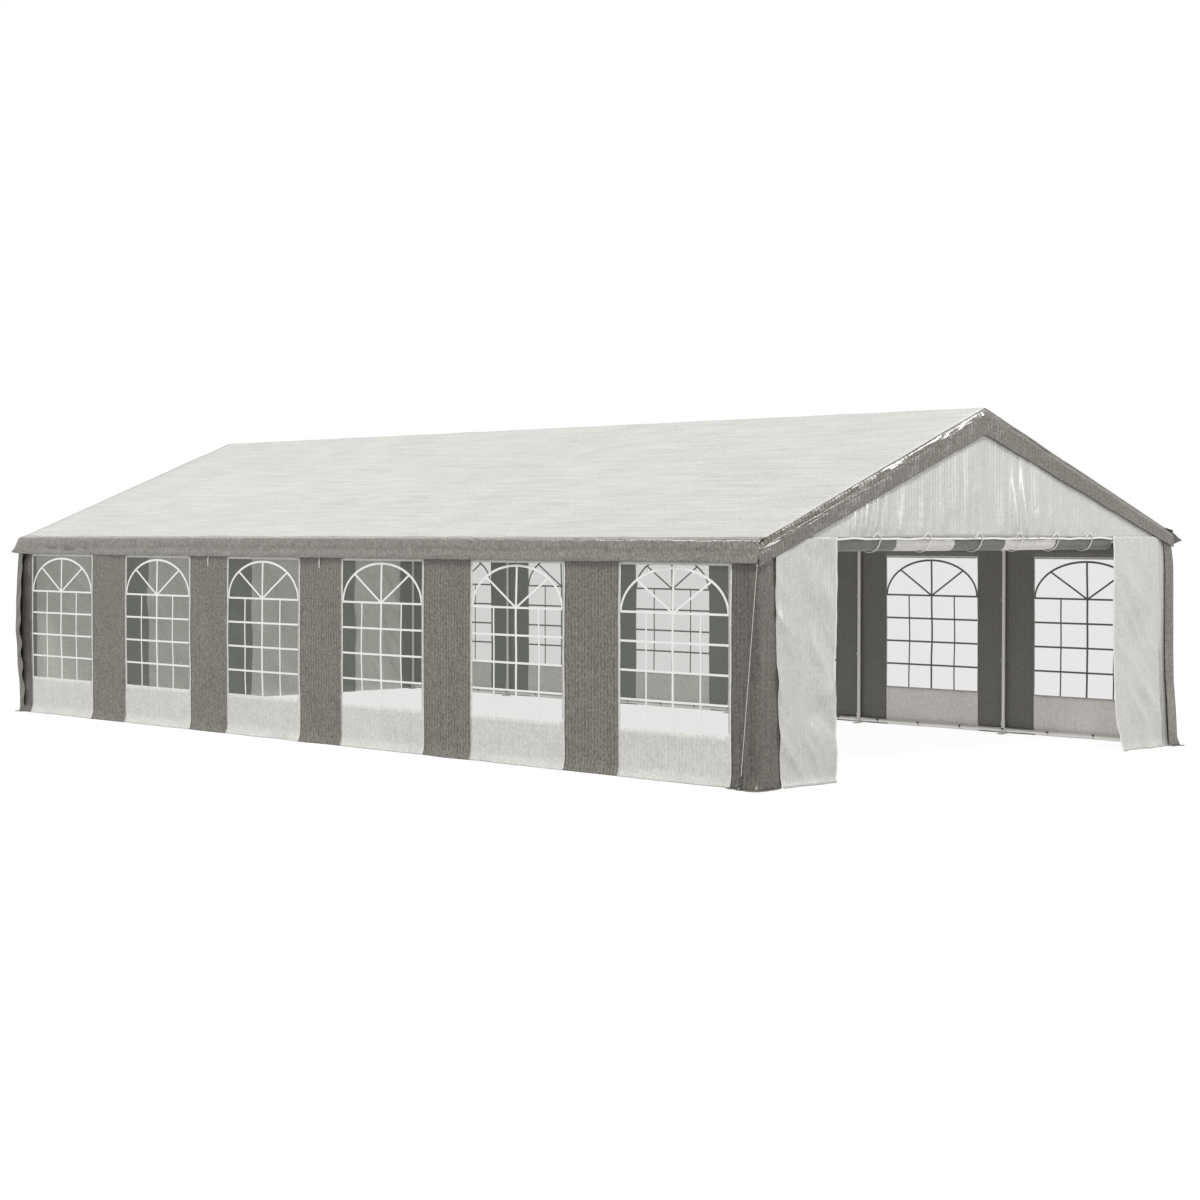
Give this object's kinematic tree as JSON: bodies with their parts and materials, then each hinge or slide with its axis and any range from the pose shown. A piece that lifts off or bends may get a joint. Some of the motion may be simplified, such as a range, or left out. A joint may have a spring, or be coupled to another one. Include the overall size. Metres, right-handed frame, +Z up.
{
  "type": "marquee tent",
  "caption": "Rectangular frame marquee with a white pitched cloth roof, grey eave bands and strips, arched clear windows along both sides, and a front doorway with its door rolled up",
  "frame": {"origin": "centre of the plan, on the ground under the middle of the ridge", "axes": "+X across the front gable from left to right, +Y along the ridge from the front gable with the open doorway to the back gable, +Z up"},
  "size_m": [6.1378, 12.0066, 3.268],
  "materials": {
    "white_steel": "white powder-coated steel tube, satin",
    "white_cloth": "off-white coated woven sheet, slight sheen, fine ribs",
    "grey_cloth": "warm grey coated woven sheet, slight sheen, fine ribs, creased at folds",
    "clear_film": "thin clear flexible film, slightly rippled",
    "white_webbing": "white woven webbing, matt",
    "white_rope": "white braided rope, matt",
    "peg_steel": "galvanised steel rod"
  },
  "bodies": {
    "root": {"back_door": "grey_cloth", "back_left_curtain": "white_cloth", "back_pediment": "white_cloth", "back_rake_trim": "grey_cloth", "back_right_curtain": "white_cloth", "door_straps": "white_webbing", "frame_1": "white_steel", "frame_2": "white_steel", "frame_3": "white_steel", "frame_4": "white_steel", "frame_5": "white_steel", "frame_6": "white_steel", "frame_7": "white_steel", "front_left_curtain": "white_cloth", "front_left_guy_rope": "white_rope", "front_left_peg": "peg_steel", "front_pediment": "white_cloth", "front_rake_trim": "grey_cloth", "front_right_curtain": "white_cloth", "front_right_guy_rope": "white_rope", "front_right_peg": "peg_steel", "left_eave_bar": "white_steel", "left_eave_valance": "grey_cloth", "left_ground_bar": "white_steel", "left_purlin": "white_steel", "left_wall_cloth": "grey_cloth", "left_window_film": "clear_film", "left_window_panel_1": "white_cloth", "left_window_panel_2": "white_cloth", "left_window_panel_3": "white_cloth", "left_window_panel_4": "white_cloth", "left_window_panel_5": "white_cloth", "left_window_panel_6": "white_cloth", "ridge_bar": "white_steel", "right_eave_bar": "white_steel", "right_eave_valance": "grey_cloth", "right_ground_bar": "white_steel", "right_purlin": "white_steel", "right_wall_cloth": "grey_cloth", "right_window_film": "clear_film", "right_window_panel_1": "white_cloth", "right_window_panel_2": "white_cloth", "right_window_panel_3": "white_cloth", "right_window_panel_4": "white_cloth", "right_window_panel_5": "white_cloth", "right_window_panel_6": "white_cloth", "rolled_door": "grey_cloth", "roof_cover": "white_cloth"}
  },
  "joints": []
}
